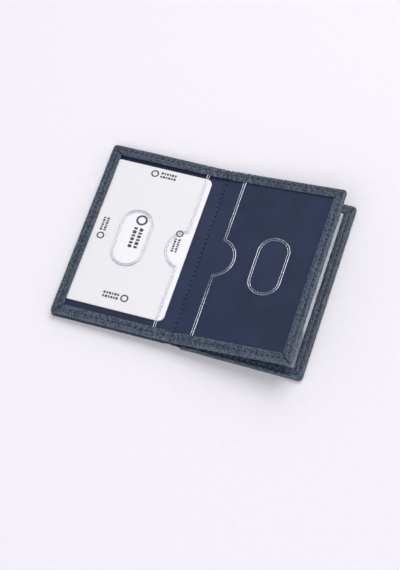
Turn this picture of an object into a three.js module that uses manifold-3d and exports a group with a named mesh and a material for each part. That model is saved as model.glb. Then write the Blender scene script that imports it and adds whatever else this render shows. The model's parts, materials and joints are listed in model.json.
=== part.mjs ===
// A leather document and card holder, lying open: a sewn cover of front cover, spine strip and back cover, with a window
// panel lining the front cover and a window leaf that turns like a page about the spine seam.
// Millimetres, +Z up. X runs across the open spread, Y along the spine, and the holder stands on Z = 0.
import * as THREE from "three";
import { mergeVertices } from "three/addons/utils/BufferGeometryUtils.js";
import Module from "manifold-3d";

// Card, which the panels are cut for
const cardLength = 85.6;
const cardWidth = 53.98;
const cardThickness = 0.76;
const cardCorner = 3.18;
const cardClearance = 0.05; // over and under the card
const cardToSeam = 6.8;
const cardToStitches = 0.42;
const cardShift = 0.9; // towards +Y

// Panels
const endMargin = 9; // from the card's ends to the panel's
const cornerRadius = 3; // of the free corners
const borderWidth = 5.8; // of the leather turned over onto the inner face
const stitchInset = 2.8; // from the edge to the row of stitches
const mitreSlit = 0.3;

// Layers of a window panel, from its outer face up
const glueLine = 0.04;
const leatherThickness = 0.55;
const boardThickness = 0.3;
const liningThickness = 0.2;
const filmThickness = 0.2;
const turnedLeather = 0.47; // skived before it is turned over
const foldWall = 0.6; // leather left outside the layers, round an edge

// Window film
const filmToSeam = 9.8;
const filmInset = 1.4; // under the turned border
const notchRadius = 10.4;
const notchBack = 2.3; // from the film's open edge back to the notch's centre
const slotWidth = 14.6;
const slotLength = 31;
const slotShift = 3.2; // from the card's middle towards the free edge

// Front cover, under its window panel
const slipGap = 0.3;
const coverLeather = 0.5;
const coverBoard = 0.4;
const coverTurned = 0.44;
const coverBorder = 8;
const tabRun = 3.6; // leather alone, rising to the seam

// Spine
const spineRun = 5; // sideways from the seam to the back crease
const seamHalf = 0.6; // half the sewn strip, which belongs to the leaf
const seamClearance = 0.6;
const creaseHalf = 0.6; // leather left out each side of a crease's axis
const boardToSeam = 4;

// Stitching
const threadWidth = 0.36;
const threadHeight = 0.22;
const threadSlack = 0.06; // round a thread in its groove

// The holder as it lies open
const frontTilt = THREE.MathUtils.degToRad(2.4);
const leafTilt = THREE.MathUtils.degToRad(9.4);

const CURVE = 6; // segments in a corner
const EDGE = 3; // segments in half a rounded edge

// Heights of the layers, each from the panel's outer face
const boardBottom = leatherThickness + glueLine;
const liningBottom = boardBottom + boardThickness + glueLine;
const liningTop = liningBottom + liningThickness;
const cardBottom = liningTop + cardClearance;
const filmBottom = cardBottom + cardThickness + cardClearance;
const turnedBottom = filmBottom + filmThickness + glueLine;
const panelThickness = turnedBottom + turnedLeather;
const coverThickness = coverLeather + glueLine + coverBoard + glueLine + coverTurned;
const frontThickness = coverThickness + slipGap + panelThickness;

// Outline of every panel, from the seam or crease to its free edge
const panelWidth = cardToSeam + cardWidth + cardToStitches + stitchInset;
const panelHeight = cardLength + 2 * endMargin;
const halfHeight = panelHeight / 2;

const wasm = await Module();
wasm.setup();

// A closed geometry as a manifold-3d solid.
function solid(geometry) {
  const bare = geometry.clone();
  bare.deleteAttribute("normal");
  bare.deleteAttribute("uv");
  const merged = mergeVertices(bare, 1e-4);
  return new wasm.Manifold(
    new wasm.Mesh({
      numProp: 3,
      vertProperties: new Float32Array(merged.attributes.position.array),
      triVerts: new Uint32Array(merged.index.array),
    }),
  );
}

// A manifold-3d solid as a geometry.
function geometryOf(made) {
  const found = made.getMesh();
  const position = new Float32Array(found.numVert * 3);
  for (let i = 0; i < found.numVert; i++) {
    for (let k = 0; k < 3; k++) position[3 * i + k] = found.vertProperties[i * found.numProp + k];
  }
  const geometry = new THREE.BufferGeometry();
  geometry.setAttribute("position", new THREE.BufferAttribute(position, 3));
  geometry.setIndex(new THREE.BufferAttribute(new Uint32Array(found.triVerts), 1));
  geometry.computeVertexNormals();
  return geometry;
}

function box(x0, x1, y0, y1, z0, z1) {
  const geometry = new THREE.BoxGeometry(x1 - x0, y1 - y0, z1 - z0);
  return geometry.translate((x0 + x1) / 2, (y0 + y1) / 2, (z0 + z1) / 2);
}

// The outline of a panel, set in from its edges, with round corners on the free side. x runs from the seam outwards.
function panelOutline(inset, start) {
  const right = panelWidth - inset;
  const top = halfHeight - inset;
  const radius = Math.max(cornerRadius - inset, 0.3);
  const outline = new THREE.Shape();
  outline.moveTo(start, -top);
  outline.lineTo(right - radius, -top);
  outline.absarc(right - radius, -top + radius, radius, -Math.PI / 2, 0, false);
  outline.lineTo(right, top - radius);
  outline.absarc(right - radius, top - radius, radius, 0, Math.PI / 2, false);
  outline.lineTo(start, top);
  outline.closePath();
  return outline;
}

function slab(outline, bottom, top) {
  const geometry = new THREE.ExtrudeGeometry(outline, {
    depth: top - bottom,
    bevelEnabled: false,
    curveSegments: CURVE,
  });
  return geometry.translate(0, 0, bottom);
}

// A plate of the panel's outline whose edges are rounded nearly all the way.
function roundedPlate(thickness, start) {
  const radius = thickness / 2 - 0.1;
  const geometry = new THREE.ExtrudeGeometry(panelOutline(0, start), {
    depth: thickness - 2 * radius,
    bevelEnabled: true,
    bevelThickness: radius,
    bevelSize: radius,
    bevelOffset: -radius,
    bevelSegments: EDGE,
    curveSegments: CURVE,
  });
  return geometry.translate(0, 0, radius);
}

// A strip that follows the free edges, between two insets, from the top of the seam round to its foot.
function edgeStrip(outer, inner, start) {
  const points = (inset) => panelOutline(inset, start).getPoints(CURVE).slice(0, -1); // without its closing side
  return new THREE.Shape([...points(outer), ...points(inner).reverse()]);
}

// A profile drawn in X and Z, carried along Y.
function alongSpine(points, length) {
  const outline = new THREE.Shape(points.map(([x, z]) => new THREE.Vector2(x, z)));
  const geometry = new THREE.ExtrudeGeometry(outline, { depth: length, bevelEnabled: false });
  return geometry.rotateX(Math.PI / 2).translate(0, length / 2, 0);
}

// The row of stitches as one thread lying in its groove, and the groove that holds it.
function threadRow(bottom, start) {
  const half = threadWidth / 2;
  return slab(edgeStrip(stitchInset - half, stitchInset + half, start), bottom, bottom + threadHeight);
}

function threadGroove(bottom, top, start) {
  const half = threadWidth / 2 + threadSlack;
  return slab(edgeStrip(stitchInset - half, stitchInset + half, start - 1), bottom, top);
}

// The slits where two turned edges meet at a free corner.
function mitreSlits(bottom, top, width) {
  const reach = (width - 1) * Math.SQRT2;
  return [-1, 1].map((side) => {
    const slit = box(-reach / 2, reach / 2, -mitreSlit / 2, mitreSlit / 2, bottom, top);
    slit.rotateZ((side * Math.PI) / 4);
    const middle = (width + 1) / 2;
    return slit.translate(panelWidth - middle, side * (halfHeight - middle), 0);
  });
}

// Leather of a window panel: its outer face, its rounded edges and its turned borders, in one sheet.
function windowLeather(start, outerRow) {
  const overrun = start - 8;
  let sheet = solid(roundedPlate(panelThickness, overrun));
  const cuts = [
    slab(panelOutline(foldWall, overrun - 1), leatherThickness, turnedBottom),
    slab(panelOutline(borderWidth, overrun - 1), turnedBottom - glueLine, panelThickness + 1),
    box(overrun - 2, start, -panelHeight, panelHeight, -1, panelThickness + 1),
    threadGroove(panelThickness - threadHeight - threadSlack, panelThickness + 1, start),
    ...mitreSlits(turnedBottom - glueLine, panelThickness + 1, borderWidth),
  ];
  if (outerRow) cuts.push(threadGroove(-1, threadHeight + threadSlack, start));
  for (const cut of cuts) sheet = sheet.subtract(solid(cut));
  return geometryOf(sheet);
}

// Leather of the front cover: a thinner tray, and a tab that rises to the seam.
function coverSheet(start) {
  const overrun = start - 4;
  const run = start + tabRun;
  const boardTop = coverLeather + glueLine + coverBoard + glueLine;
  let sheet = solid(roundedPlate(coverThickness, overrun));
  const cuts = [
    slab(panelOutline(foldWall, overrun - 1), coverLeather, boardTop),
    slab(panelOutline(coverBorder, overrun - 1), boardTop - glueLine, coverThickness + 1),
    box(overrun - 2, run, -panelHeight, panelHeight, -1, coverThickness + 1),
    threadGroove(-1, threadHeight + threadSlack, run),
  ];
  for (const cut of cuts) sheet = sheet.subtract(solid(cut));
  const rise = coverThickness + slipGap - glueLine - coverLeather;
  const tab = [
    [start, rise],
    [run - 0.4, 0],
    [run + 0.6, 0],
    [run + 0.6, coverLeather],
    [run, coverLeather],
    [start, rise + coverLeather],
  ];
  sheet = sheet.add(solid(alongSpine(tab, panelHeight - 2 * cornerRadius)));
  return geometryOf(sheet.subtract(solid(threadGroove(-1, threadHeight + threadSlack, run))));
}

// The window: clear film with a thumb notch in its open edge and a slot for pushing the card.
function windowFilm() {
  const outline = new THREE.Shape();
  const right = panelWidth - filmInset;
  const top = halfHeight - filmInset;
  const radius = cornerRadius - filmInset;
  const halfChord = Math.sqrt(notchRadius ** 2 - notchBack ** 2);
  const notchAngle = Math.atan2(halfChord, notchBack);
  outline.moveTo(filmToSeam, -top);
  outline.lineTo(right - radius, -top);
  outline.absarc(right - radius, -top + radius, radius, -Math.PI / 2, 0, false);
  outline.lineTo(right, top - radius);
  outline.absarc(right - radius, top - radius, radius, 0, Math.PI / 2, false);
  outline.lineTo(filmToSeam, top);
  outline.lineTo(filmToSeam, halfChord);
  outline.absarc(filmToSeam - notchBack, 0, notchRadius, notchAngle, -notchAngle, true);
  outline.closePath();
  const slot = new THREE.Path();
  const slotToSeam = cardToSeam + cardWidth / 2 + slotShift;
  const radiusAcross = slotWidth / 2;
  const straight = slotLength / 2 - radiusAcross;
  slot.absarc(slotToSeam, straight, radiusAcross, 0, Math.PI, false);
  slot.absarc(slotToSeam, -straight, radiusAcross, Math.PI, 2 * Math.PI, false);
  slot.closePath();
  outline.holes.push(slot);
  const geometry = new THREE.ExtrudeGeometry(outline, {
    depth: filmThickness,
    bevelEnabled: false,
    curveSegments: 2 * CURVE,
  });
  return geometry.translate(0, 0, filmBottom);
}

function sampleCard() {
  const left = cardToSeam;
  const right = left + cardWidth;
  const end = cardLength / 2;
  const outline = new THREE.Shape();
  outline.absarc(right - cardCorner, end - cardCorner, cardCorner, 0, Math.PI / 2, false);
  outline.absarc(left + cardCorner, end - cardCorner, cardCorner, Math.PI / 2, Math.PI, false);
  outline.absarc(left + cardCorner, -end + cardCorner, cardCorner, Math.PI, 1.5 * Math.PI, false);
  outline.absarc(right - cardCorner, -end + cardCorner, cardCorner, 1.5 * Math.PI, 2 * Math.PI, false);
  outline.closePath();
  return slab(outline, cardBottom, cardBottom + cardThickness).translate(0, -cardShift, 0);
}

const leather = { color: 0x3f4f5f, roughness: 0.55, metalness: 0 };
const lining = { color: 0x323e5a, roughness: 0.8, metalness: 0 };
const board = { color: 0x9a8a72, roughness: 0.9, metalness: 0 };
const film = { color: 0xdfe6f0, roughness: 0.1, metalness: 0, transparent: true, opacity: 0.3 };
const thread = { color: 0x1d2a44, roughness: 0.7, metalness: 0 };
const card = { color: 0xf2f0f4, roughness: 0.3, metalness: 0 };

function piece(name, geometry, finish) {
  const mesh = new THREE.Mesh(geometry, new THREE.MeshStandardMaterial(finish));
  mesh.name = name;
  return mesh;
}

// A window panel with all its layers. `start` is where its sheets begin, measured from the seam or crease.
function windowPanel(name, start, outerRow) {
  const group = new THREE.Group();
  const inner = panelThickness - threadHeight;
  group.add(
    piece(name + "_leather", windowLeather(start, outerRow), leather),
    piece(name + "_board", slab(panelOutline(filmInset, boardToSeam), boardBottom, boardBottom + boardThickness), board),
    piece(name + "_lining", slab(panelOutline(filmInset, start), liningBottom, liningTop), lining),
    piece(name + "_window_film", windowFilm(), film),
    piece(name + "_inner_stitching", threadRow(inner, Math.max(start, 0)), thread),
  );
  if (outerRow) group.add(piece(name + "_outer_stitching", threadRow(0, Math.max(start, 0)), thread));
  return group;
}

// The seam's axis is over x = 0. Everything is placed from the top of the seam, so that the front cover's free edge and
// the back cover's face both stand on Z = 0.
const edgeRadius = coverThickness / 2 - 0.1;
const seamTop =
  edgeRadius +
  (panelWidth - edgeRadius) * Math.sin(frontTilt) +
  (frontThickness - edgeRadius) * Math.cos(frontTilt);
const holder = new THREE.Group();

// Front cover with the window panel that lines it, turned half round so that its free edge points to -X
const front = new THREE.Group();
front.position.set(0, 0, seamTop);
front.rotation.y = -frontTilt;
const frontStart = seamHalf + seamClearance;
const linedPanel = windowPanel("front_panel", frontStart, false);
linedPanel.add(piece("sample_card", sampleCard(), card));
linedPanel.rotation.z = Math.PI;
linedPanel.position.z = -panelThickness;
const cover = new THREE.Group();
const coverInside = coverLeather + glueLine;
const coverLining = coverInside + coverBoard + glueLine;
const coverRun = frontStart + tabRun + 1;
cover.add(
  piece("front_cover_leather", coverSheet(frontStart), leather),
  piece("front_cover_board", slab(panelOutline(filmInset, coverRun), coverInside, coverInside + coverBoard), board),
  piece(
    "front_cover_lining",
    slab(panelOutline(coverBorder + 0.3, coverRun), coverLining, coverLining + liningThickness),
    lining,
  ),
  piece("front_cover_stitching", threadRow(0, frontStart + tabRun), thread),
);
cover.rotation.z = Math.PI;
cover.position.z = -frontThickness;
front.add(linedPanel, cover);

// Leaf, which turns like a page, with the sewn strip of the seam along its edge
const leaf = new THREE.Group();
leaf.position.set(0, 0, seamTop);
leaf.rotation.y = -leafTilt;
const leafPanel = windowPanel("middle_leaf", -seamHalf, true);
leafPanel.position.z = -panelThickness;
const seamRow = halfHeight - borderWidth - 0.5;
const seamThread = box(
  -threadWidth / 2,
  threadWidth / 2,
  -seamRow,
  seamRow,
  liningTop + glueLine,
  liningTop + glueLine + threadHeight,
);
leafPanel.add(piece("spine_seam_stitching", seamThread, thread));
leaf.add(leafPanel);

// Back cover, flat on the table
const back = windowPanel("back_cover", creaseHalf, true);
back.position.x = spineRun;

// Spine strip, from under the seam down to the back crease
const stripTop = seamTop - panelThickness - 0.1 - coverLeather;
const creaseHeight = leatherThickness / 2;
const stripHeight = stripTop - creaseHeight;
const stripLength = Math.hypot(spineRun, stripHeight);
const strip = new THREE.Group();
strip.position.set(0, 0, stripTop);
strip.rotation.y = Math.atan2(stripHeight, spineRun);
const stripEnd = stripLength - creaseHalf;
const stripLining = coverLeather / 2 + glueLine;
strip.add(
  piece(
    "spine_leather",
    box(seamHalf, stripEnd, -halfHeight, halfHeight, -coverLeather / 2, coverLeather / 2),
    leather,
  ),
  piece(
    "spine_lining",
    box(
      seamHalf + 0.2,
      stripEnd - 0.2,
      -halfHeight + borderWidth,
      halfHeight - borderWidth,
      stripLining,
      stripLining + liningThickness,
    ),
    lining,
  ),
);

holder.add(front, leaf, back, strip);

// The origin is under the middle of the whole spread.
holder.updateMatrixWorld(true);
const extent = new THREE.Box3().setFromObject(holder, true);
const middle = extent.getCenter(new THREE.Vector3());
holder.position.set(-middle.x, 0, -extent.min.z);

export default holder;
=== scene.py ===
"""A leather document and card holder, lying open on a pale table.

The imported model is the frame: every piece here is made round it, in its own flat millimetres, and is then
laid in place.
"""

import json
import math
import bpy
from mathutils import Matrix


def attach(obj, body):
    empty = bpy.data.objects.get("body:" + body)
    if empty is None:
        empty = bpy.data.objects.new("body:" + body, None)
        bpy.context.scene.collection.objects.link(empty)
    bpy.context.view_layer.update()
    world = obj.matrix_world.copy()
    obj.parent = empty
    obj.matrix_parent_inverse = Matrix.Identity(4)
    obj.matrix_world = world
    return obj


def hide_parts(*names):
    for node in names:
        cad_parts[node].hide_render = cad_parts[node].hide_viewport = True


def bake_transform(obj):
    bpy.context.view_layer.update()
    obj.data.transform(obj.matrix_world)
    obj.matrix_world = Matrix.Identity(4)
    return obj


bl_info = {
    "name": "Leather Card Holder",
    "version": (1, 0, 0),
    "blender": (4, 5, 0),
    "location": "3D View > Sidebar > Holder",
    "description": "Builds a sewn leather document holder with clear pockets round its packed model",
    "category": "Object",
}

import bmesh
import bpy
from bpy.props import FloatProperty, FloatVectorProperty, IntProperty, PointerProperty
from bpy.types import Operator, Panel, PropertyGroup
from mathutils import Quaternion, Vector, noise

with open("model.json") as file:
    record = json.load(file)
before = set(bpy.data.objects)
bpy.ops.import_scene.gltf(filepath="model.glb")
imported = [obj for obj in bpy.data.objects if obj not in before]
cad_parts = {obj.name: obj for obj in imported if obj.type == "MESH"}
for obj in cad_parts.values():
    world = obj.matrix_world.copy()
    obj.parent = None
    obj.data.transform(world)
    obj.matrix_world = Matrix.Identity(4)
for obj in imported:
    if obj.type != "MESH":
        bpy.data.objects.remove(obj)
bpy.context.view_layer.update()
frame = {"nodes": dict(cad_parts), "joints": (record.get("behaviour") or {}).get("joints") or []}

MM = 0.001
JOINTS = {joint["name"]: joint for joint in frame["joints"]}
SEAM_X = JOINTS["front_cover_hinge"]["pos_m"][0] / MM
CREASE_X = JOINTS["back_cover_hinge"]["pos_m"][0] / MM

# Layers of a window panel, in millimetres up from its outer face, as its solids have them
PANEL_THICKNESS = 2.7
FILM_BOTTOM = 1.99
FILM_THICKNESS = 0.2
CARD_TOP = 1.94
COVER_THICKNESS = 1.42
FRONT_THICKNESS = 4.42  # front cover, slip gap and window panel together
HINGE_RISE = 0.15  # of the front cover's hinge over the seam
SEAM_TOP = JOINTS["front_cover_hinge"]["pos_m"][2] / MM - HINGE_RISE

# Pieces that no solid gives a size for, in millimetres
COVER_BORDER = 8.0
SPINE_HIDE = 0.5
MITRE_DEPTH = 0.42
LINING_THICKNESS = 0.16
LINING_INSET = 1.8  # from the panel's edges
FILM_INSET = 1.5  # from the panel's edges
NOTCH_BACK = 2.3  # from the film's open edge back to the notch's centre
THREAD_WIDTH = 0.56
ROUND_SIDES = 96  # vertices round a thumb notch
BEND_REACH = 1.5  # the spread changes slope this far each side of the seam


# ---------------------------------------------------------------- sizes and colours a user would change


def srgb(code):
    """A hex colour as the linear colour that a shader takes."""
    channels = [int(code[i : i + 2], 16) / 255 for i in (0, 2, 4)]
    return (*[c / 12.92 if c <= 0.04045 else ((c + 0.055) / 1.055) ** 2.4 for c in channels], 1.0)


def dye(name, description, code):
    """A colour that a user can change, from its hex default."""
    return FloatVectorProperty(
        name=name, description=description, subtype="COLOR", size=3, min=0.0, max=1.0, default=srgb(code)[:3]
    )


def measure(name, description, metres):
    return FloatProperty(name=name, description=description, default=metres, unit="LENGTH")


def slope(name, description, degrees):
    return FloatProperty(name=name, description=description, default=math.radians(degrees), subtype="ANGLE")


class HolderSizes(PropertyGroup):
    """Sizes of the leather, the pockets and the sewing."""

    panel_width: measure("Panel width", "From the seam to the free edge", 0.064)
    panel_height: measure("Panel height", "Along the spine", 0.1036)
    corner: measure("Corner radius", "Of the free corners", 0.0022)
    border: measure("Turned border", "Leather turned over onto the inner face", 0.0058)
    hide: measure("Leather thickness", "Of the skived leather", 0.00042)
    stitch_inset: measure("Stitch inset", "From the edge to the stitches", 0.0028)
    stitch_pitch: measure("Stitch pitch", "From stitch to stitch", 0.003)
    seam_pitch: measure("Seam pitch", "From stitch to stitch down the spine", 0.0028)
    film_edge: measure("Film to seam", "From the seam to the film's open edge", 0.0094)
    notch: measure("Thumb notch", "Radius of the thumb notch", 0.0104)
    slot_width: measure("Slot width", "Across the push slot", 0.0146)
    slot_length: measure("Slot length", "Along the push slot", 0.031)
    slot_middle: measure("Slot to seam", "From the seam to the slot's middle", 0.037)
    weld: measure("Welded rim", "From the film's cut edge to its welded bead", 0.0011)
    front_tilt: slope("Front tilt", "Slope of the front cover", 2.4)
    leaf_tilt: slope("Leaf tilt", "Slope of the middle leaf", 9.4)


class HolderColours(PropertyGroup):
    """Colours of the materials, how the finishes vary, and the strength of the studio."""

    leather: dye("Leather", "Face of the pebbled leather", "3d4e65")
    # the colour of the lighter leather edges: partly wear, partly painted highlight
    worn: dye("Worn edge", "Rubbed edges of the leather", "7c8792")
    lining: dye("Lining", "Coated lining behind the pockets", "212d4b")
    thread: dye("Thread", "Sewing thread", "33435c")
    card: dye("Card", "White of the sample card", "f8f7fa")
    ink: dye("Ink", "Marks printed on the card", "44444a")
    board: dye("Board", "Stiffener inside the leather", "92866f")
    table: dye("Table", "Paper under the holder", "f5f2f9")
    key_power: FloatProperty(
        name="Key light", description="Power of the large soft light", default=7.6, unit="POWER"
    )
    sky: FloatProperty(
        name="Surrounding light", description="Strength of the light from all round", default=0.75, min=0.0
    )
    lens: FloatProperty(name="Lens", description="Focal length in millimetres", default=125.5, min=1.0)
    grain_depth: measure("Grain depth", "Depth of the leather's pebbles", 0.0002)
    wrinkle_seed: IntProperty(
        name="Wrinkle seed", description="Which set of small waves the leather has", default=7
    )


def in_mm(length):
    return length / MM


# ---------------------------------------------------------------- materials


def per_mm(size):
    """The texture scale that gives features this many millimetres across."""
    return 1 / (size * MM)


def add_node(material, kind, inputs=None, ramp=None, **settings):
    """Adds a shader node with its settings, and sets or links its inputs."""
    tree = material.node_tree
    node = tree.nodes.new("ShaderNode" + kind)
    for key, value in settings.items():
        setattr(node, key, value)
    for key, value in (inputs or {}).items():
        if isinstance(value, bpy.types.NodeSocket):
            tree.links.new(value, node.inputs[key])
        else:
            node.inputs[key].default_value = value
    if ramp:
        stops = node.color_ramp.elements
        while len(stops) < len(ramp):
            stops.new(0.5)
        for stop, (place, colour) in zip(stops, ramp):
            stop.position, stop.color = place, colour
    return node


def start_material(name):
    """An empty material, and the place on the piece that its patterns follow."""
    material = bpy.data.materials.new(name)
    material.use_nodes = True
    material.node_tree.nodes.clear()
    return material, add_node(material, "TexCoord").outputs["Object"]


def finish_material(material, shader):
    add_node(material, "OutputMaterial", {"Surface": shader.outputs[0]})
    return material


def grey(value):
    return (value, value, value, 1.0)


def shade(colour, share):
    """A linear colour made darker or lighter by a share."""
    return (*[min(1.0, channel * share) for channel in colour[:3]], 1.0)


def pebbled_leather(name, face, worn, grain_depth):
    """Corrected-grain cowhide, drum dyed and pebble embossed: a low satin sheen, painted shade in the creases
    between pebbles and painted highlight on their tops, and a lighter colour on its turned edges that is
    partly wear and partly painted highlight."""
    material, place = start_material(name)
    # the pebbles are drawn out of round by a slow drift of about 3 mm
    drift = add_node(material, "TexNoise", {"Vector": place, "Scale": per_mm(3), "Detail": 3.0})
    moved = add_node(material, "MixRGB", {0: 0.0014, 1: place, 2: drift.outputs["Color"]}, blend_type="ADD")
    # pebbles about 1 mm across, whose edges run into each other
    pebbles = add_node(
        material, "TexVoronoi",
        {"Vector": moved.outputs[0], "Scale": per_mm(1.05), "Smoothness": 0.55, "Randomness": 1.0},
        feature="SMOOTH_F1",
    )
    pores = add_node(
        material, "TexNoise", {"Vector": place, "Scale": per_mm(0.45), "Detail": 4.0, "Roughness": 0.65}
    )
    cloud = add_node(material, "TexNoise", {"Vector": place, "Scale": per_mm(6), "Detail": 4.0})
    relief = add_node(
        material, "MapRange",
        {
            "Value": pebbles.outputs["Distance"], "From Min": 0.12, "From Max": 0.62, "To Min": 1.0,
            "To Max": 0.0,
        },
    )
    height = add_node(material, "MixRGB", {0: 0.35, 1: relief.outputs[0], 2: pores.outputs["Fac"]})
    # the ramp paints shade into the low creases between pebbles and a painted highlight onto the pebbles'
    # tops
    tone = add_node(
        material, "ValToRGB", {"Fac": height.outputs[0]},
        ramp=[(0.2, shade(face, 0.4)), (0.48, shade(face, 0.88)), (0.8, shade(face, 1.3))],
    )
    patchy = add_node(
        material, "ValToRGB", {"Fac": cloud.outputs["Fac"]}, ramp=[(0.3, grey(0.78)), (0.7, grey(1.18))],
    )
    clouded = add_node(
        material, "MixRGB", {0: 1.0, 1: tone.outputs[0], 2: patchy.outputs["Color"]}, blend_type="MULTIPLY"
    )
    # mixes the turned edges toward the worn colour: partly wear, partly painted highlight on the lit bevels
    edge = add_node(material, "Attribute", attribute_name="edge_wear_and_highlight")
    wear_and_highlight = add_node(material, "Math", {0: edge.outputs["Fac"], 1: height.outputs[0]}, operation="MULTIPLY")
    colour = add_node(material, "MixRGB", {0: wear_and_highlight.outputs[0], 1: clouded.outputs[0], 2: shade(worn, 1.0)})
    gloss = add_node(
        material, "MapRange",
        {"Value": pores.outputs["Fac"], "From Min": 0.3, "From Max": 0.7, "To Min": 0.3, "To Max": 0.5},
    )
    bump = add_node(
        material, "Bump", {"Height": height.outputs[0], "Strength": 1.0, "Distance": grain_depth}
    )
    shader = add_node(
        material, "BsdfPrincipled",
        {
            "Base Color": colour.outputs[0], "Roughness": gloss.outputs[0], "Normal": bump.outputs[0],
            "IOR": 1.5, "Specular IOR Level": 0.5,
        },
    )
    return finish_material(material, shader)


def coated_lining(name, colour):
    """Thin polyurethane-coated lining leather: smooth and matt, with a faint fine grain and soft clouding."""
    material, place = start_material(name)
    grain = add_node(
        material, "TexVoronoi", {"Vector": place, "Scale": per_mm(0.55)}, feature="DISTANCE_TO_EDGE",
    )
    fibre = add_node(
        material, "TexNoise", {"Vector": place, "Scale": per_mm(0.4), "Detail": 4.0, "Roughness": 0.65}
    )
    cloud = add_node(material, "TexNoise", {"Vector": place, "Scale": per_mm(14), "Detail": 4.0})
    mixed = add_node(material, "MixRGB", {0: 0.45, 1: cloud.outputs["Color"], 2: fibre.outputs["Color"]})
    tone = add_node(
        material, "ValToRGB", {"Fac": mixed.outputs[0]},
        ramp=[(0.3, shade(colour, 0.68)), (0.72, shade(colour, 1.35))],
    )
    height = add_node(material, "MixRGB", {0: 0.5, 1: grain.outputs["Distance"], 2: fibre.outputs["Color"]})
    bump = add_node(material, "Bump", {"Height": height.outputs[0], "Strength": 0.6, "Distance": 0.05 * MM})
    shader = add_node(
        material, "BsdfPrincipled",
        {
            "Base Color": tone.outputs[0], "Roughness": 0.62, "Normal": bump.outputs[0], "IOR": 1.48,
            "Specular IOR Level": 0.35,
        },
    )
    return finish_material(material, shader)


def clear_film(name, tint, roughness, gloss, milk):
    """Calendered soft PVC: clear and glossy, with long shallow ripples that break up what it mirrors. Where
    it is welded or worn it is cloudy, and `milk` is how much."""
    material, place = start_material(name)
    ripple = add_node(material, "TexNoise", {"Vector": place, "Scale": per_mm(11), "Detail": 1.5})
    bump = add_node(
        material, "Bump", {"Height": ripple.outputs["Fac"], "Strength": 0.5, "Distance": 0.2 * MM}
    ).outputs[0]
    clear = add_node(material, "BsdfTransparent", {"Color": srgb(tint)})
    if milk:
        cloudy = add_node(
            material, "BsdfPrincipled",
            {"Base Color": srgb("e2e6f4"), "Roughness": roughness, "Normal": bump, "IOR": 1.53},
        )
        clear = add_node(material, "MixShader", {0: milk, 1: clear.outputs[0], 2: cloudy.outputs[0]})
    mirror = add_node(material, "BsdfGlossy", {"Roughness": roughness, "Normal": bump})
    # each face mirrors a few hundredths head on and far more at a glance
    facing = add_node(material, "LayerWeight", {"Blend": 0.5, "Normal": bump}).outputs["Facing"]
    steep = add_node(material, "Math", {0: facing, 1: 4.0}, operation="POWER").outputs[0]
    share = add_node(material, "Math", {0: steep, 1: 0.4, 2: gloss}, operation="MULTIPLY_ADD").outputs[0]
    shader = add_node(material, "MixShader", {0: share, 1: clear.outputs[0], 2: mirror.outputs[0]})
    return finish_material(material, shader)


def card_plastic(name, white):
    """White laminated PVC card: even, softly glossy, with the faintest mottle."""
    material, place = start_material(name)
    mottle = add_node(material, "TexNoise", {"Vector": place, "Scale": per_mm(0.8), "Detail": 3.0})
    colour = add_node(
        material, "ValToRGB", {"Fac": mottle.outputs["Fac"]},
        ramp=[(0.3, shade(white, 0.97)), (0.7, shade(white, 1.02))],
    )
    bump = add_node(
        material, "Bump", {"Height": mottle.outputs["Fac"], "Strength": 0.3, "Distance": 0.01 * MM}
    )
    shader = add_node(
        material, "BsdfPrincipled",
        {"Base Color": colour.outputs[0], "Roughness": 0.32, "Normal": bump.outputs[0], "IOR": 1.53},
    )
    return finish_material(material, shader)


def fibre_finish(name, colour, contrast, size, roughness, depth):
    """Short fibres or filaments packed together: bonded thread, greyboard, table paper and ink on plastic
    differ only in colour, contrast, size and how far they stand up."""
    material, place = start_material(name)
    fibres = add_node(
        material, "TexNoise", {"Vector": place, "Scale": per_mm(size), "Detail": 3.0, "Roughness": 0.6}
    )
    tone = add_node(
        material, "ValToRGB", {"Fac": fibres.outputs["Fac"]},
        ramp=[(0.3, shade(colour, 1 - contrast)), (0.7, shade(colour, 1 + contrast))],
    )
    bump = add_node(
        material, "Bump", {"Height": fibres.outputs["Fac"], "Strength": 0.5, "Distance": depth * MM}
    )
    shader = add_node(
        material, "BsdfPrincipled",
        {"Base Color": tone.outputs[0], "Roughness": roughness, "Normal": bump.outputs[0]},
    )
    return finish_material(material, shader)


FINISHES = {}


def finish(name):
    """A material by its name, made the first time that it is asked for."""
    if name not in FINISHES:
        colours = bpy.context.scene.holder_colours
        depth = colours.grain_depth
        makers = {
            "pebbled_leather": lambda: pebbled_leather(name, colours.leather, colours.worn, depth),
            "coated_lining": lambda: coated_lining(name, colours.lining),
            "pvc_film": lambda: clear_film(name, "ffffff", 0.05, 0.022, 0.0),
            "pvc_film_worn": lambda: clear_film(name, "fafbff", 0.14, 0.05, 0.32),
            "pvc_weld": lambda: clear_film(name, "eff3fb", 0.2, 0.22, 0.13),
            "pvc_card": lambda: card_plastic(name, colours.card),
            "card_ink": lambda: fibre_finish(name, colours.ink, 0.2, 0.3, 0.45, 0.004),
            "polyester_thread": lambda: fibre_finish(name, colours.thread, 0.45, 0.3, 0.45, 0.05),
            # near black: painted shade for the depth of the stitch holes
            "stitch_hole_shade": lambda: fibre_finish(name, srgb("090c12"), 0.4, 0.2, 0.9, 0.02),
            "greyboard": lambda: fibre_finish(name, colours.board, 0.2, 0.4, 0.9, 0.05),
            "table_paper": lambda: fibre_finish(name, colours.table, 0.015, 2.5, 0.75, 0.02),
        }
        FINISHES[name] = makers[name]()
    return FINISHES[name]


# ---------------------------------------------------------------- making and shaping


def deselect():
    if bpy.context.object and bpy.context.object.mode != "OBJECT":
        bpy.ops.object.mode_set(mode="OBJECT")
    bpy.ops.object.select_all(action="DESELECT")


def pick(*objects):
    deselect()
    for obj in objects:
        obj.select_set(True)
    bpy.context.view_layer.objects.active = objects[0]


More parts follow.
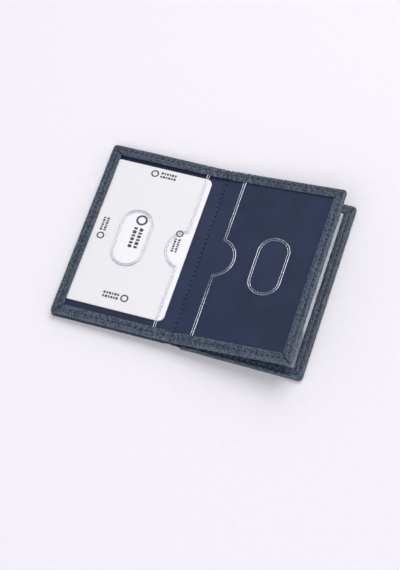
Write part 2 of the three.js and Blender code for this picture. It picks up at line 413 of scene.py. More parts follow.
def edit(action):
    """Goes into edit mode with all or nothing of the active piece selected."""
    bpy.ops.object.mode_set(mode="EDIT")
    bpy.ops.mesh.select_all(action=action)


def leave_edit():
    bpy.ops.object.mode_set(mode="OBJECT")


def named(name):
    obj = bpy.context.object
    obj.name = obj.data.name = name
    return obj


def apply_modifier(obj, kind, **settings):
    pick(obj)
    modifier = obj.modifiers.new(kind.title(), kind)
    for key, value in settings.items():
        setattr(modifier, key, value)
    bpy.ops.object.modifier_apply(modifier=modifier.name)


def lines(reach, fine, fine_step, step, last):
    """Grid lines either side of the middle: close up to `fine`, wider to `reach`, and one near the end."""
    half = [0.0]
    while half[-1] + fine_step < fine:
        half.append(half[-1] + fine_step)
    coarse = round((reach - last - half[-1]) / step)
    start = half[-1]
    half += [start + (reach - last - start) * (i + 1) / coarse for i in range(coarse)]
    half.append(reach)
    return [-x for x in reversed(half[1:])] + half


def flat_sheet(name, columns, rows):
    """A flat sheet in millimetres, whose grid lines lie where they are wanted."""
    deselect()
    across, along = len(columns) - 1, len(rows) - 1
    bpy.ops.mesh.primitive_grid_add(x_subdivisions=across, y_subdivisions=along, size=2)
    obj = named(name)
    for vertex in obj.data.vertices:
        i = round((vertex.co.x + 1) / 2 * across)
        j = round((vertex.co.y + 1) / 2 * along)
        vertex.co = (columns[i], rows[j], 0.0)
    return obj


def round_corner(x, y, half_x, half_y, radius):
    """Moves a point in a square corner onto the round one."""
    dx, dy = abs(x) - (half_x - radius), abs(y) - (half_y - radius)
    if dx <= 0 or dy <= 0:
        return x, y
    pull = max(dx, dy) / math.hypot(dx, dy)
    return math.copysign(half_x - radius + dx * pull, x), math.copysign(half_y - radius + dy * pull, y)


def fold_edges(obj, half_x, half_y, radius, profile):
    """Turns the sheet's edges up and over, ring by ring. A profile point is an inset and a height."""
    first = profile[0][0]
    bpy.ops.object.mode_set(mode="EDIT")
    bpy.ops.mesh.select_mode(type="EDGE")
    mesh = bmesh.from_edit_mesh(obj.data)
    home = mesh.verts.layers.float_vector.new("home")
    for vertex in mesh.verts:
        vertex[home] = (vertex.co.x / (half_x - first), vertex.co.y / (half_y - first), 0.0)
        vertex.co.z = profile[0][1]
    bmesh.update_edit_mesh(obj.data)
    bpy.ops.mesh.select_all(action="DESELECT")
    bpy.ops.mesh.select_non_manifold(extend=False)
    for ring, (inset, height) in enumerate(profile[1:], 1):
        bpy.ops.mesh.extrude_edges_move()
        mesh = bmesh.from_edit_mesh(obj.data)
        home = mesh.verts.layers.float_vector["home"]
        for vertex in mesh.verts:
            if vertex.select:
                s, t, _ = vertex[home]
                x, y = round_corner(s * (half_x - inset), t * (half_y - inset), half_x, half_y, radius)
                vertex.co = (x, y, height)
                vertex[home] = (s, t, ring)
        bmesh.update_edit_mesh(obj.data)
    bpy.ops.mesh.select_all(action="SELECT")
    bpy.ops.mesh.flip_normals()
    leave_edit()


def cut_away(obj, x, keep_right):
    """Bisects the sheet across x and clears one side."""
    pick(obj)
    edit("SELECT")
    bpy.ops.mesh.bisect(
        plane_co=(x, 0, 0), plane_no=(1, 0, 0), clear_inner=keep_right, clear_outer=not keep_right,
        threshold=1e-4,
    )
    leave_edit()


def draw_out(obj, x, top, path):
    """Extrudes the outer face's cut edge at x along a path of X and Z."""
    pick(obj)
    bpy.ops.object.mode_set(mode="EDIT")
    bpy.ops.mesh.select_mode(type="EDGE")
    bpy.ops.mesh.select_all(action="DESELECT")
    mesh = bmesh.from_edit_mesh(obj.data)
    for edge in mesh.edges:
        if edge.is_boundary and all(abs(v.co.x - x) < 1e-3 and v.co.z < top for v in edge.verts):
            edge.select_set(True)
    bmesh.update_edit_mesh(obj.data)
    for to_x, to_z in path:
        bpy.ops.mesh.extrude_edges_move()
        mesh = bmesh.from_edit_mesh(obj.data)
        for vertex in mesh.verts:
            if vertex.select:
                vertex.co.x, vertex.co.z = to_x, to_z
        bmesh.update_edit_mesh(obj.data)
    leave_edit()


def wave(x, y, size, seed):
    """A smooth unevenness between -1 and 1, with waves of about `size` millimetres."""
    return noise.noise(Vector((x / size, y / size, 3.7 * seed)))


def dent(distance, width):
    return math.exp(-((distance / width) ** 2))


def ease(share):
    """A share kept between 0 and 1, that starts and stops gently."""
    share = min(1.0, max(0.0, share))
    return share * share * (3 - 2 * share)


def tilted(point, slope_up):
    """A point turned about the top of the seam."""
    x, y, z = point
    angle = -slope_up
    return Vector(
        (
            SEAM_X + x * math.cos(angle) + z * math.sin(angle), y,
            SEAM_TOP - x * math.sin(angle) + z * math.cos(angle),
        )
    )


def spread_place(point, sizes):
    """A point of the flat spread, whose inner face is z = 0 and seam is x = 0, in place over the seam."""
    share = ease((point[0] + BEND_REACH) / (2 * BEND_REACH))
    return tilted(point, sizes.front_tilt + (sizes.leaf_tilt - sizes.front_tilt) * share)


def cover_place(point, sizes):
    """A point of the front cover, whose outer face is z = 0."""
    x, y, z = point
    return tilted((x, y, z - FRONT_THICKNESS), sizes.front_tilt)


def back_place(point, sizes):
    """A point of the back cover, whose outer face is z = 0 and crease is x = 0."""
    x, y, z = point
    return Vector((CREASE_X + x, y, z))


def lay(obj, place, sizes):
    """Puts a piece made in flat millimetres in its place, in metres."""
    for vertex in obj.data.vertices:
        vertex.co = place(vertex.co, sizes) * MM
    obj.data.update()


def coat(obj, material):
    obj.data.materials.clear()
    obj.data.materials.append(finish(material))


def complete(obj, material, replaced=(), angle=45.0):
    """Gives a piece its finish and soft shading, and hides the solids it stands for."""
    if "home" in obj.data.attributes:
        obj.data.attributes.remove(obj.data.attributes["home"])
    coat(obj, material)
    pick(obj)
    bpy.ops.object.shade_smooth_by_angle(angle=math.radians(angle))
    if replaced:
        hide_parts(*replaced)
    deselect()


# Turned leather edges. Each point is an inset from the edge and a height over the outer face.
OUTER_FACE = [(4.2, 0.0), (3.3, 0.0), (3.05, 0.04), (2.8, 0.14), (2.55, 0.04), (2.3, 0.0)]
FIRST_TURNED = len(OUTER_FACE)  # the first ring of the rounded edge


def panel_profile(border):
    """Section of a window panel's leather, from its outer face round the edge to the turned border's end."""
    edge = [
        (1.75, 0.0), (1.1, 0.14), (0.58, 0.42), (0.2, 0.86), (0.0, 1.4), (0.05, 1.9), (0.3, 2.34),
        (0.74, 2.6),
    ]
    top = [
        (1.25, 2.7), (1.65, 2.73), (1.9, 2.64), (2.2, 2.7), (2.5, 2.65), (2.8, 2.52), (3.1, 2.66),
        (3.5, 2.72), (4.3, 2.72), (border - 0.5, 2.69), (border - 0.12, 2.61), (border, 2.47),
    ]
    return OUTER_FACE + edge + top


def cover_profile(border):
    """Section of the front cover's thinner leather."""
    edge = [(1.0, 0.0), (0.45, 0.05), (0.12, 0.18), (0.0, 0.42), (0.1, 0.66), (0.42, 0.8)]
    return OUTER_FACE + edge + [(0.9, 0.84), (2.6, 1.04), (5.0, 1.34), (border, 1.38)]


def mark_wear_and_highlight(obj, profile):
    """Marks where the leather is lighter, partly from wear and partly as painted highlight: most over its
    rounded edge and the lip of its turned border.
    """
    wear_and_highlight = obj.data.attributes.new("edge_wear_and_highlight", "FLOAT", "POINT")
    home = obj.data.attributes["home"]
    last = len(profile) - 1
    has_lip = profile[-1][1] > COVER_THICKNESS
    for i, ring in enumerate(round(entry.vector[2]) for entry in home.data):
        inset = profile[ring][0]
        bevel = dent(inset - 0.55, 0.5) if ring > FIRST_TURNED + 2 else 0.25 * dent(inset, 0.4)
        lip = dent(last - ring, 1.2) if has_lip else 0.0
        wear_and_highlight.data[i].value = 0.0 if ring < FIRST_TURNED else 0.08 + 0.5 * bevel + 0.4 * lip


# Creases across the turned borders near the spine: place from the seam, depth, half width, and slant
CREASES = {
    -1: [
        (-16.5, 0.10, 0.9, 0.25),
        (-12.6, 0.22, 0.7, 0.15),
        (-7.6, 0.14, 0.6, -0.12),
        (-4.2, 0.24, 0.6, 0.3),
        (0.4, 0.34, 0.4, 0.12),
        (3.4, 0.16, 0.6, -0.2),
        (8.2, 0.10, 0.8, 0.2),
        (13.2, 0.24, 0.8, 0.25),
        (17.5, 0.16, 0.7, -0.15),
    ],
    1: [
        (-12.5, 0.18, 0.8, -0.2),
        (-6.5, 0.16, 0.7, 0.15),
        (-2.6, 0.22, 0.6, -0.25),
        (0.2, 0.36, 0.45, -0.1),
        (3.8, 0.2, 0.7, 0.2),
        (8.5, 0.14, 0.8, -0.15),
        (12.8, 0.2, 0.7, 0.2),
    ],
}


def settle_leather(obj, half_x, half_y, height, seed, creased):
    """Works the leather as use does: slits at its mitres, small waves, and creases near the spine."""
    home = obj.data.attributes["home"]
    for i, vertex in enumerate(obj.data.vertices):
        s, t, ring = home.data[i].vector
        x, y, z = vertex.co
        on_top = ring > 0 and z > 0.82 * height
        turned = ring >= FIRST_TURNED
        on_mitre = abs(abs(s) - 1) < 1e-4 and abs(abs(t) - 1) < 1e-4
        if on_top and on_mitre and half_x - abs(x) > 1.1:
            z -= MITRE_DEPTH
        inset = min(half_x - abs(x), half_y - abs(y))
        if turned:
            sway = wave(x, y, 9, seed)
            x += 0.1 * wave(x, y, 7, seed + 1) * (1 if abs(s) > 0.99 else 0.2)
            y += 0.1 * wave(x, y, 7, seed + 2) * (1 if abs(t) > 0.99 else 0.2)
            z += (0.05 * sway + 0.03 * wave(x, y, 3, seed + 3)) * min(1.0, z / 0.6)
        else:
            z += 0.03 * (1 + wave(x, y, 14, seed + 4))
        if creased and abs(t) > 0.999 and turned:
            side = 1 if t > 0 else -1
            for place, depth, width, slant in CREASES[side]:
                away = x - place - slant * (inset - 3)
                near, beside = dent(away, width), dent(abs(away) - 1.7 * width, width)
                top = max(0.0, min(1.0, (z / height - 0.2) / 0.6))
                z += (-1.5 * depth * near + 0.9 * depth * beside) * top
                y -= side * 0.6 * depth * near * (1 - top * 0.5)
            pinch = dent(x, 3.2)
            if on_top:
                y += side * 0.5 * pinch * max(0.0, (inset - 3.0) / 2.8)
                z -= 0.16 * pinch * max(0.0, (inset - 2.0) / 3.8)
        vertex.co = (x, y, z)
    obj.data.update()


def leather_panel(name, sizes, profile, height, seed, creased=False, fine=0.0):
    """A sheet of leather with all its edges turned over, before it gets its thickness."""
    half_x, half_y = in_mm(sizes.panel_width), in_mm(sizes.panel_height) / 2
    first = profile[0][0]
    columns = lines(half_x - first, max(fine, 1.0), 0.5 if fine else 1.0, 1.0, 0.3)
    rows = lines(half_y - first, 1.0, 1.0, 1.0, 0.3)
    obj = flat_sheet(name, columns, rows)
    fold_edges(obj, half_x, half_y, in_mm(sizes.corner), profile)
    mark_wear_and_highlight(obj, profile)
    settle_leather(obj, half_x, half_y, height, seed, creased)
    return obj


def thicken(obj, thickness):
    apply_modifier(
        obj, "SOLIDIFY", thickness=thickness, offset=-1.0, use_even_offset=False, use_quality_normals=True,
    )


class HOLDER_OT_spread_leather(Operator):
    """Leather of the open spread: the front panel and the middle leaf, in one sheet across the seam"""

    bl_idname = "holder.spread_leather"
    bl_label = "Spread leather"

    def execute(self, context):
        sizes = context.scene.holder_sizes
        seed = context.scene.holder_colours.wrinkle_seed
        profile = panel_profile(in_mm(sizes.border))
        obj = leather_panel("spread_leather", sizes, profile, PANEL_THICKNESS, seed, creased=True, fine=22.0)
        thicken(obj, in_mm(sizes.hide))
        for vertex in obj.data.vertices:
            vertex.co.z -= PANEL_THICKNESS
        lay(obj, spread_place, sizes)
        complete(obj, "pebbled_leather", ("front_panel_leather", "middle_leaf_leather"))
        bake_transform(obj)
        return {"FINISHED"}


class HOLDER_OT_front_cover_leather(Operator):
    """Leather of the front cover, with the tab that rises to the seam"""

    bl_idname = "holder.front_cover_leather"
    bl_label = "Front cover leather"

    def execute(self, context):
        sizes = context.scene.holder_sizes
        seed = context.scene.holder_colours.wrinkle_seed + 11
        obj = leather_panel("front_cover_skin", sizes, cover_profile(COVER_BORDER), COVER_THICKNESS, seed)
        tab_foot = -4.8
        cut_away(obj, tab_foot, keep_right=False)
        draw_out(obj, tab_foot, 0.3, [(-3.9, 0.12), (-2.8, 0.5), (-1.6, 0.95), (-0.7, 1.13), (0.2, 1.18)])
        thicken(obj, in_mm(sizes.hide))
        home = obj.data.attributes["home"].data
        turned_in = 10.5  # rings past this one are the border turned onto the inner face
        inner = [
            f.index for f in obj.data.polygons if all(home[i].vector[2] > turned_in for i in f.vertices)
        ]
        lay(obj, cover_place, sizes)
        complete(obj, "pebbled_leather", ("front_cover_leather",))
        # the border turned onto the cover's inner face gets the darker lining finish: painted shade for the
        # gap under the window panel
        obj.data.materials.append(finish("coated_lining"))
        for i in inner:
            obj.data.polygons[i].material_index = 1
        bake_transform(obj)
        return {"FINISHED"}


class HOLDER_OT_spine_leather(Operator):
    """Leather of the spine from under the seam to the middle of the strip"""

    bl_idname = "holder.spine_leather"
    bl_label = "Spine leather"

    def execute(self, context):
        sizes = context.scene.holder_sizes
        half_y = in_mm(sizes.panel_height) / 2
        path = [
            (-0.9, 3.72), (-0.45, 3.68), (-0.05, 3.52), (0.6, 3.05), (1.25, 2.59), (1.9, 2.14), (2.55, 1.68),
        ]
        rows = lines(half_y, 1.0, 1.0, 1.0, 0.4)
        obj = flat_sheet("spine_skin", list(range(len(path))), rows)
        for vertex in obj.data.vertices:
            step = round(vertex.co.x)
            x, z = path[step]
            drift = 0.04 * wave(x, vertex.co.y, 5, 23)
            # its ends draw in to meet the back cover's
            drawn_in = 1 - 0.012 * step / (len(path) - 1)
            vertex.co = (x + drift, vertex.co.y * drawn_in, z + drift)
        pick(obj)
        edit("SELECT")
        bpy.ops.mesh.flip_normals()
        leave_edit()
        thicken(obj, SPINE_HIDE)
        for vertex in obj.data.vertices:
            vertex.co = Vector((SEAM_X + vertex.co.x, vertex.co.y, vertex.co.z)) * MM
        complete(obj, "pebbled_leather", ("spine_leather",))
        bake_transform(obj)
        return {"FINISHED"}


class HOLDER_OT_back_cover_leather(Operator):
    """Leather of the back cover, carried through its crease and halfway up the spine strip"""

    bl_idname = "holder.back_cover_leather"
    bl_label = "Back cover leather"

    def execute(self, context):
        sizes = context.scene.holder_sizes
        seed = context.scene.holder_colours.wrinkle_seed + 29
        profile = panel_profile(in_mm(sizes.border))
        obj = leather_panel("back_cover_skin", sizes, profile, PANEL_THICKNESS, seed)
        past_crease = 0.6
        cut_away(obj, past_crease, keep_right=True)
        draw_out(
            obj, past_crease, 0.4,
            [(0.2, 0.01), (-0.14, 0.09), (-0.6, 0.4), (-1.2, 0.82), (-1.8, 1.24), (-2.45, 1.68)],
        )
        thicken(obj, in_mm(sizes.hide))
        lay(obj, back_place, sizes)
        complete(obj, "pebbled_leather", ("back_cover_leather",))
        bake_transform(obj)
        return {"FINISHED"}


# Height of the spread's lining over its outer face: low where the card lies and slides, and up against the
# film where the leaf's pocket is empty
LINING_STOPS = [(-62.0, 1.06), (-1.4, 1.06), (0.8, 1.5), (8.5, 1.86), (62.0, 1.86)]


def between(stops, x):
    """Eases from stop to stop."""
    for (x0, z0), (x1, z1) in zip(stops, stops[1:]):
        if x <= x1:
            share = max(0.0, (x - x0) / (x1 - x0))
            return z0 + (z1 - z0) * share * share * (3 - 2 * share)
    return stops[-1][1]


class HOLDER_OT_linings(Operator):
    """Linings of the open spread, in one sheet across the seam, and of the back cover"""

    bl_idname = "holder.linings"
    bl_label = "Linings"

    def execute(self, context):
        sizes = context.scene.holder_sizes
        half_x, half_y = in_mm(sizes.panel_width) - LINING_INSET, in_mm(
            sizes.panel_height
        ) / 2 - LINING_INSET
        rows = lines(half_y, 1.0, 1.0, 1.0, 0.5)
        spread = flat_sheet("spread_lining", lines(half_x, 8.0, 0.5, 1.0, 0.5), rows)
        for vertex in spread.data.vertices:
            x, y, _ = vertex.co
            z = between(LINING_STOPS, x) - 0.3 * dent(x, 0.6)
            z = z + 0.05 * wave(x, y, 6, 41) + 0.02 * wave(x, y, 2, 42)
            pucker = 0.5 + 0.5 * math.cos(2 * math.pi * y / in_mm(sizes.seam_pitch))
            z += 0.07 * pucker * dent(x - 1.1, 0.7)
            vertex.co.z = z - PANEL_THICKNESS
        thicken(spread, LINING_THICKNESS)
        lay(spread, spread_place, sizes)
        complete(spread, "coated_lining", ("front_panel_lining", "middle_leaf_lining"))
        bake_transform(spread)
        reach = lines(half_x, 1.0, 1.0, 1.0, 0.5)
        back = flat_sheet("back_cover_pocket_lining", [x for x in reach if x > 0.5], rows)
        for vertex in back.data.vertices:
            x, y, _ = vertex.co
            vertex.co.z = 1.8 + 0.05 * wave(x, y, 7, 43) - 0.65 * dent(x, 2.0)
        thicken(back, LINING_THICKNESS)
        lay(back, back_place, sizes)
        complete(back, "coated_lining", ("back_cover_lining",))
        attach(back, "back_cover")
        for name in ("front_cover_lining", "spine_lining"):
            coat(frame["nodes"][name], "coated_lining")
        for name in ("front_cover_board", "front_panel_board", "middle_leaf_board", "back_cover_board"):
            coat(frame["nodes"][name], "greyboard")
        return {"FINISHED"}


# ---------------------------------------------------------------- clear pockets


def slot_outline(width, length, name):
    """A racetrack of vertices round the slot's middle, from a circle pulled apart along the spine."""
    deselect()
    bpy.ops.mesh.primitive_circle_add(vertices=64, radius=width / 2)
    obj = named(name)
    pull = (length - width) / 2
    bpy.ops.object.mode_set(mode="EDIT")
    for side in (-1, 1):
        bpy.ops.mesh.select_all(action="DESELECT")
        mesh = bmesh.from_edit_mesh(obj.data)
        for vertex in mesh.verts:
            if side * vertex.co.y > 1e-4 and abs(vertex.co.y) < width:
                vertex.select_set(True)
        bmesh.update_edit_mesh(obj.data)
        bpy.ops.transform.translate(value=(0, side * (pull + width), 0))
    leave_edit()
    for vertex in obj.data.vertices:
        if abs(vertex.co.y) > 1e-4:
            vertex.co.y -= math.copysign(width, vertex.co.y)
    return obj


def shift(obj, x, y, z=0.0):
    for vertex in obj.data.vertices:
        vertex.co.x += x
        vertex.co.y += y
        vertex.co.z += z


def stand_up(obj, height):
    """Fills an outline and extrudes it into a cutter."""
    pick(obj)
    edit("SELECT")
    bpy.ops.mesh.edge_face_add()
    bpy.ops.mesh.extrude_region_move(TRANSFORM_OT_translate={"value": (0, 0, height)})
    bpy.ops.mesh.select_all(action="SELECT")
    bpy.ops.mesh.normals_make_consistent(inside=False)
    leave_edit()


def cut_out(obj, cutter):
    apply_modifier(obj, "BOOLEAN", operation="DIFFERENCE", object=cutter, solver="EXACT")
    bpy.data.objects.remove(cutter)


def bead(obj, radius):
    """Turns a wire of edges into a low round bead."""
    pick(obj)
    bpy.ops.object.convert(target="CURVE")
    obj = bpy.context.object
    obj.data.bevel_depth = radius
    obj.data.bevel_resolution = 2
    obj.data.use_fill_caps = True
    bpy.ops.object.convert(target="MESH")
    obj = bpy.context.object
    edit("SELECT")
    bpy.ops.mesh.remove_doubles(threshold=1e-3)
    leave_edit()
    for vertex in obj.data.vertices:
        vertex.co.z *= 0.7
    return obj


def open_edge(sizes, offset, name):
    """The film's open edge with its thumb notch as a wire, `offset` inside the cut edge."""
    edge = in_mm(sizes.film_edge)
    radius = in_mm(sizes.notch) + offset
    back = NOTCH_BACK + offset
    end = in_mm(sizes.panel_height) / 2 - 4.0
    angle = math.acos(back / radius)
    deselect()
    bpy.ops.mesh.primitive_circle_add(vertices=ROUND_SIDES, radius=radius)
    obj = named(name)
    edit("DESELECT")
    mesh = bmesh.from_edit_mesh(obj.data)
    for vertex in mesh.verts:
        vertex.select_set(vertex.co.x < back)
    bmesh.update_edit_mesh(obj.data)
    bpy.ops.mesh.delete(type="VERT")
    for side in (-1, 1):
        for reach in (radius * math.sin(angle), end):
            bpy.ops.mesh.select_mode(type="VERT")
            bpy.ops.mesh.select_all(action="DESELECT")
            mesh = bmesh.from_edit_mesh(obj.data)
            tip = max(mesh.verts, key=lambda v: side * v.co.y)
            tip.select_set(True)
            bmesh.update_edit_mesh(obj.data)
            move = Vector((back, side * reach, 0)) - tip.co
            bpy.ops.mesh.extrude_region_move(TRANSFORM_OT_translate={"value": move})
    leave_edit()
    shift(obj, edge + offset - back, 0.0)
    return obj


def clear_pocket(sizes, name, sag, seed, swell):
    """A film with its notch, slot and welded beads, laid flat at z = 0 with the seam at x = 0."""
    edge = in_mm(sizes.film_edge)
    far, half_y = in_mm(sizes.panel_width) - FILM_INSET, in_mm(sizes.panel_height) / 2 - FILM_INSET
    count = round((far - edge) / 1.3)
    columns = [edge + (far - edge) * i / count for i in range(count + 1)]
    film = flat_sheet(name, columns, lines(half_y, 1.3, 1.3, 1.3, 0.6))

    def height(x, y):
        across = min(1, max(0, (x - edge) / (far - edge)))
        middle = math.sin(math.pi * across) * math.cos(math.pi * y / 2 / half_y)
        loose = sag * middle * (0.6 + wave(x, y, 16, seed)) + 0.35 * sag * wave(x, y, 7, seed + 1)
        # the film springs up from `foot` to `crest` and drops to `border`, except near one end
        foot, crest, border = 44, 55.0, 59.0
        rise = border - max(x, crest) if x < border else 0.0
        near_edge = min(1.0, max(0.0, (x - foot) / (crest - foot))) ** 2
        off_end = min(1.0, max(0.0, (y + 36) / 16))
        return loose + swell * rise * (near_edge * off_end) * (1 - (y / half_y) ** 6)

    thicken(film, FILM_THICKNESS)
    deselect()
    bpy.ops.mesh.primitive_circle_add(vertices=ROUND_SIDES, radius=in_mm(sizes.notch))
    thumb = named("thumb_cutter")
    shift(thumb, edge - NOTCH_BACK, 0, -2)
    stand_up(thumb, 4)
    cut_out(film, thumb)
    width, length, middle = in_mm(sizes.slot_width), in_mm(sizes.slot_length), in_mm(sizes.slot_middle)
    slot = slot_outline(width, length, "slot_cutter")
    shift(slot, middle, 0, -2)
    stand_up(slot, 4)
    cut_out(film, slot)
    weld = in_mm(sizes.weld)
    rim = slot_outline(width + 2 * weld, length + 2 * weld, name + "_slot_bead")
    shift(rim, middle, 0)
    beads = [bead(rim, 0.3), bead(open_edge(sizes, weld, name + "_edge_bead"), 0.3)]
    lip = slot_outline(width + 0.1, length + 0.1, name + "_slot_lip")
    shift(lip, middle, 0)
    beads += [bead(lip, 0.2), bead(open_edge(sizes, 0.05, name + "_edge_lip"), 0.2)]
    for part in (film, *beads):
        for vertex in part.data.vertices:
            vertex.co.z += height(vertex.co.x, vertex.co.y)
    pick(*beads)
    bpy.ops.object.join()
    return film, named(name + "_welds")


class HOLDER_OT_films(Operator):
    """Clear pocket films with their thumb notches, push slots and welded beads"""

    bl_idname = "holder.films"
    bl_label = "Pocket films"

    def execute(self, context):
        sizes = context.scene.holder_sizes
        low = FILM_BOTTOM - PANEL_THICKNESS
        # panel, body, place, turned end for end, height, sag, seed, swell and look
        pockets = [
            ("front_panel", "front_cover", spread_place, True, low, 0.1, 51, 0.0, "pvc_film"),
            ("middle_leaf", "middle_leaf", spread_place, False, low, 0.12, 61, 0.0, "pvc_film"),
            ("back_cover", "back_cover", back_place, False, FILM_BOTTOM, 0.1, 71, 0.165, "pvc_film_worn"),
        ]
        for name, body, place, turned, base, sag, seed, swell, look in pockets:
            film, welds = clear_pocket(sizes, name + "_pocket_film", sag, seed, swell)
            for part, material in ((film, look), (welds, "pvc_weld")):
                if turned:
                    for vertex in part.data.vertices:
                        vertex.co.x, vertex.co.y = -vertex.co.x, -vertex.co.y
                shift(part, 0, 0, base + FILM_THICKNESS)
                lay(part, place, sizes)
                complete(part, material, angle=30)
                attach(part, body)
            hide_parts(name + "_window_film")
        return {"FINISHED"}


# ---------------------------------------------------------------- sewing


def one_stitch(length, width):
    """One stitch: a plump thread that dives at both ends."""
    deselect()
    bpy.ops.mesh.primitive_uv_sphere_add(segments=8, ring_count=6, radius=0.5)
    obj = named("one_stitch")
    for vertex in obj.data.vertices:
        x, y, z = vertex.co * 2
        x = math.copysign(abs(x) ** 0.8, x)
        vertex.co = (x * length / 2, y * width / 2, z * width / 2 - 0.12 * x * x)
    return obj


def one_hole():
    """The mouth of a stitch hole: a low dimple in a near-black finish, which is painted shade for the hole's
    depth.
    """
    deselect()
    bpy.ops.mesh.primitive_uv_sphere_add(segments=8, ring_count=4, radius=0.5)
    obj = named("one_hole")
    for vertex in obj.data.vertices:
        vertex.co = (vertex.co.x * 1.05, vertex.co.y * 0.75, vertex.co.z * 0.12 + 0.15)
    return obj


def row_places(start, end, pitch):
    """Middles of the stitches of a straight row, and its direction."""
    span = Vector(end) - Vector(start)
    count = max(1, round(span.length / pitch))
    turn = math.atan2(span.y, span.x)
    return [(Vector(start) + span * ((i + 0.5) / count), turn) for i in range(count)]


def sew(name, rows, pitch, height, down, place, sizes, body, slot_nodes):
    """Copies one stitch and one hole along the rows, each copy with its own mesh, and joins each kind."""
    thread = one_stitch(pitch * 0.68, THREAD_WIDTH)
    hole = one_hole()
    threads, holes = [], []
    number = 0
    flip = -1 if down else 1
    for start, end in rows:
        for middle, turn in row_places(start, end, pitch):
            number += 1
            sway = 0.05 * math.sin(number * 2.4)
            for base, kept, along in ((thread, threads, 0.0), (hole, holes, pitch / 2)):
                mesh = base.data.copy()
                lean = turn + (0.06 if base is thread else 0.0)
                spot = middle + Vector((math.cos(turn), math.sin(turn))) * along
                for vertex in mesh.vertices:
                    x, y, z = vertex.co
                    vertex.co = (
                        spot.x + x * math.cos(lean) - (y + sway) * math.sin(lean),
                        spot.y + x * math.sin(lean) + (y + sway) * math.cos(lean), height + flip * z,
                    )
                if down:
                    mesh.flip_normals()
                kept.append(bpy.data.objects.new(base.name + "_copy", mesh))
                bpy.context.scene.collection.objects.link(kept[-1])
    bpy.data.objects.remove(thread)
    bpy.data.objects.remove(hole)
    kinds = ((threads, name, "polyester_thread"), (holes, name + "_holes", "stitch_hole_shade"))
    for made, part_name, material in kinds:
        pick(*made)
        bpy.ops.object.join()
        part = named(part_name)
        lay(part, place, sizes)
        complete(part, material, slot_nodes if part_name == name else (), angle=60)
        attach(part, body)


class HOLDER_OT_sewing(Operator):
    """Every row of stitches: round the borders, on the outer faces, and down the spine"""

    bl_idname = "holder.sewing"
    bl_label = "Sewing"

    def execute(self, context):
        sizes = context.scene.holder_sizes
        inset, pitch = in_mm(sizes.stitch_inset), in_mm(sizes.stitch_pitch)
        x, y = in_mm(sizes.panel_width) - inset, in_mm(sizes.panel_height) / 2 - inset
        side = 1.2

        def three_rows(sign, near):
            return [
                ((sign * near, -y), (sign * (x - side), -y)), ((sign * x, -y + side), (sign * x, y - side)),
                ((sign * (x - side), y), (sign * near, y)),
            ]

        on_leaf, on_front, on_back = three_rows(1, 1.2), three_rows(-1, 1.2), three_rows(1, 1.4)
        seam = y - inset - 0.3
        # heights over the outer face of the rows on the borders, on the outer faces, and down the seam
        top, under, down_seam = 2.52, 0.32, 1.16 - PANEL_THICKNESS
        for name, rows, step, height, down, place, body, node in (
            ("front_panel_stitches", on_front, pitch, top - PANEL_THICKNESS, False, spread_place,
             "front_cover", "front_panel_inner_stitching"),
            ("middle_leaf_stitches", on_leaf, pitch, top - PANEL_THICKNESS, False, spread_place,
             "middle_leaf", "middle_leaf_inner_stitching"),
            ("middle_leaf_outer_stitches", on_leaf, pitch, under - PANEL_THICKNESS, True, spread_place,
             "middle_leaf", "middle_leaf_outer_stitching"),
            ("front_cover_outer_stitches", three_rows(-1, 5.5), pitch, under, True, cover_place,
             "front_cover", "front_cover_stitching"),
            ("back_cover_stitches", on_back, pitch, top, False, back_place,
             "back_cover", "back_cover_inner_stitching"),
            ("back_cover_outer_stitches", on_back, pitch, under, True, back_place,
             "back_cover", "back_cover_outer_stitching"),
            ("spine_seam_stitches", [((0.0, -seam), (0.0, seam))], in_mm(sizes.seam_pitch), down_seam, False,
             spread_place, "middle_leaf", "spine_seam_stitching"),
        ):
            sew(name, rows, step, height, down, place, sizes, body, (node,))
        return {"FINISHED"}


# ---------------------------------------------------------------- card

# Printed marks: ring's middle from the seam and along the spine, which way the bars run from it, and size
MARKS = [
    ((37.6, 40.0), math.radians(0), 1.0),
    ((35.3, 11.3), math.radians(-90), 1.45),
    ((53.4, -2.6), math.radians(90), 0.95),
    ((13.9, 8.8), math.radians(-90), 0.95),
    ((29.6, -34.4), math.radians(180), 1.0),
]

# Rows of bars beside a ring: how far to its side, and the bars' lengths
BARS = [(1.05, (1.3, 0.8, 1.1, 0.8, 1.3, 0.9)), (-1.05, (0.9, 1.3, 0.8, 1.2, 0.9, 1.2))]


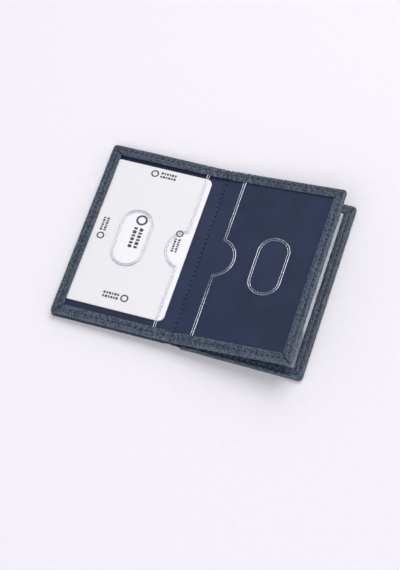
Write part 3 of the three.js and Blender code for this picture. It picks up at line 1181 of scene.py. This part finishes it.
class HOLDER_OT_card(Operator):
    """Sample card in its laminated plastic, with plain printed marks of a ring and bars"""

    bl_idname = "holder.card"
    bl_label = "Sample card"

    def execute(self, context):
        sizes = context.scene.holder_sizes
        coat(frame["nodes"]["sample_card"], "pvc_card")
        parts = []
        for (u, along), turn, size in MARKS:
            deselect()
            bpy.ops.mesh.primitive_circle_add(vertices=32, radius=2.1 * size, fill_type="NGON")
            ring = named("mark_ring")
            bpy.ops.object.mode_set(mode="EDIT")
            bpy.ops.mesh.inset(thickness=0.75 * size)
            bpy.ops.mesh.delete(type="FACE")
            leave_edit()
            made = [ring]
            for line, lengths in BARS:
                x = 3.2
                for length in lengths:
                    deselect()
                    bpy.ops.mesh.primitive_plane_add(size=1, location=(0, 0, 0))
                    bar = named("mark_bar")
                    for vertex in bar.data.vertices:
                        u_bar, v_bar = x + (vertex.co.x + 0.5) * length, line + vertex.co.y * 1.35
                        vertex.co = (u_bar * size, v_bar * size, 0)
                    edit("SELECT")
                    bpy.ops.mesh.bevel(offset=0.3 * size, segments=3, affect="VERTICES")
                    leave_edit()
                    made.append(bar)
                    x += length + 0.42
            for part in made:
                for vertex in part.data.vertices:
                    x, y, _ = vertex.co
                    # the panel is read with its seam to the right
                    vertex.co = (
                        -u + x * math.cos(turn) - y * math.sin(turn),
                        along + x * math.sin(turn) + y * math.cos(turn), CARD_TOP - PANEL_THICKNESS + 0.01,
                    )
            parts += made
        pick(*parts)
        bpy.ops.object.join()
        marks = named("card_print")
        apply_modifier(marks, "SOLIDIFY", thickness=0.02, offset=0.0)
        lay(marks, spread_place, sizes)
        complete(marks, "card_ink", angle=30)
        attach(marks, "sample_card")
        return {"FINISHED"}


# ---------------------------------------------------------------- studio


class HOLDER_OT_stage(Operator):
    """Pale table, soft studio light and the camera"""

    bl_idname = "holder.stage"
    bl_label = "Table, light and camera"

    def execute(self, context):
        scene = context.scene
        colours = scene.holder_colours
        scene.view_settings.view_transform = "Standard"
        deselect()
        bpy.ops.mesh.primitive_plane_add(size=6, location=(0, 0, 0))
        table = named("table")
        table.data.materials.append(finish("table_paper"))
        world = bpy.data.worlds.new("studio")
        scene.world = world
        world.use_nodes = True
        # the room is pale at the sides and dim overhead, so the films mirror little but the key light
        up = add_node(world, "TexCoord").outputs["Generated"]
        height = add_node(world, "SeparateXYZ", {0: up}).outputs["Z"]
        strength = add_node(
            world, "MapRange",
            {
                "Value": height, "From Min": 0.4, "From Max": 0.75, "To Min": colours.sky,
                "To Max": colours.sky * 0.06,
            },
        )
        background = world.node_tree.nodes["Background"]
        background.inputs["Color"].default_value = srgb("f7f5fb")
        world.node_tree.links.new(strength.outputs[0], background.inputs["Strength"])
        # the key hangs over and behind the holder and throws its shadow forwards, a weaker light stands lower
        # behind it, and a broad one in front opens the shadows
        for name, place, width, depth, power in (
            ("key_light", (0.24, 0.6, 1.2), 0.95, 0.9, colours.key_power * 1.3),
            ("back_light", (-0.2, 1.25, 0.9), 1.0, 0.8, colours.key_power * 0.35),
            ("fill_light", (-0.05, -0.8, 1.05), 1.4, 0.9, colours.key_power * 1.0),
        ):
            deselect()
            bpy.ops.object.light_add(type="AREA", location=place)
            light = named(name)
            light.data.shape = "RECTANGLE"
            light.data.size, light.data.size_y = width, depth
            light.data.energy = power
            light.rotation_euler = Vector(place).to_track_quat("Z", "Y").to_euler()
        deselect()
        bpy.ops.object.camera_add(location=(0.1734, -0.4496, 0.8994))
        camera = named("camera")
        aim = Vector((0.0014, -0.0137, 0.0)) - camera.location
        roll = Quaternion((0, 0, 1), math.radians(-4.43))
        camera.rotation_euler = (aim.to_track_quat("-Z", "Y") @ roll).to_euler()
        camera.data.lens = colours.lens
        camera.data.sensor_width = 36.0
        scene.camera = camera
        return {"FINISHED"}


PIECES = (
    HOLDER_OT_spread_leather,
    HOLDER_OT_front_cover_leather,
    HOLDER_OT_spine_leather,
    HOLDER_OT_back_cover_leather,
    HOLDER_OT_linings,
    HOLDER_OT_films,
    HOLDER_OT_sewing,
    HOLDER_OT_card,
    HOLDER_OT_stage,
)


class HOLDER_PT_pieces(Panel):
    """The holder's pieces and sizes"""

    bl_idname = "HOLDER_PT_pieces"
    bl_label = "Card holder"
    bl_space_type = "VIEW_3D"
    bl_region_type = "UI"
    bl_category = "Holder"

    def draw(self, context):
        for group in (context.scene.holder_sizes, context.scene.holder_colours):
            box = self.layout.box()
            for key in group.__annotations__:
                box.prop(group, key)
        for piece in PIECES:
            self.layout.operator(piece.bl_idname)


CLASSES = (HolderSizes, HolderColours, *PIECES, HOLDER_PT_pieces)


def register():
    for kind in CLASSES:
        bpy.utils.register_class(kind)
    bpy.types.Scene.holder_sizes = PointerProperty(type=HolderSizes)
    bpy.types.Scene.holder_colours = PointerProperty(type=HolderColours)


def unregister():
    del bpy.types.Scene.holder_colours
    del bpy.types.Scene.holder_sizes
    for kind in reversed(CLASSES):
        bpy.utils.unregister_class(kind)


def main():
    register()
    for piece in PIECES:
        group, name = piece.bl_idname.split(".")
        getattr(getattr(bpy.ops, group), name)()
    deselect()


if __name__ == "__main__":
    main()
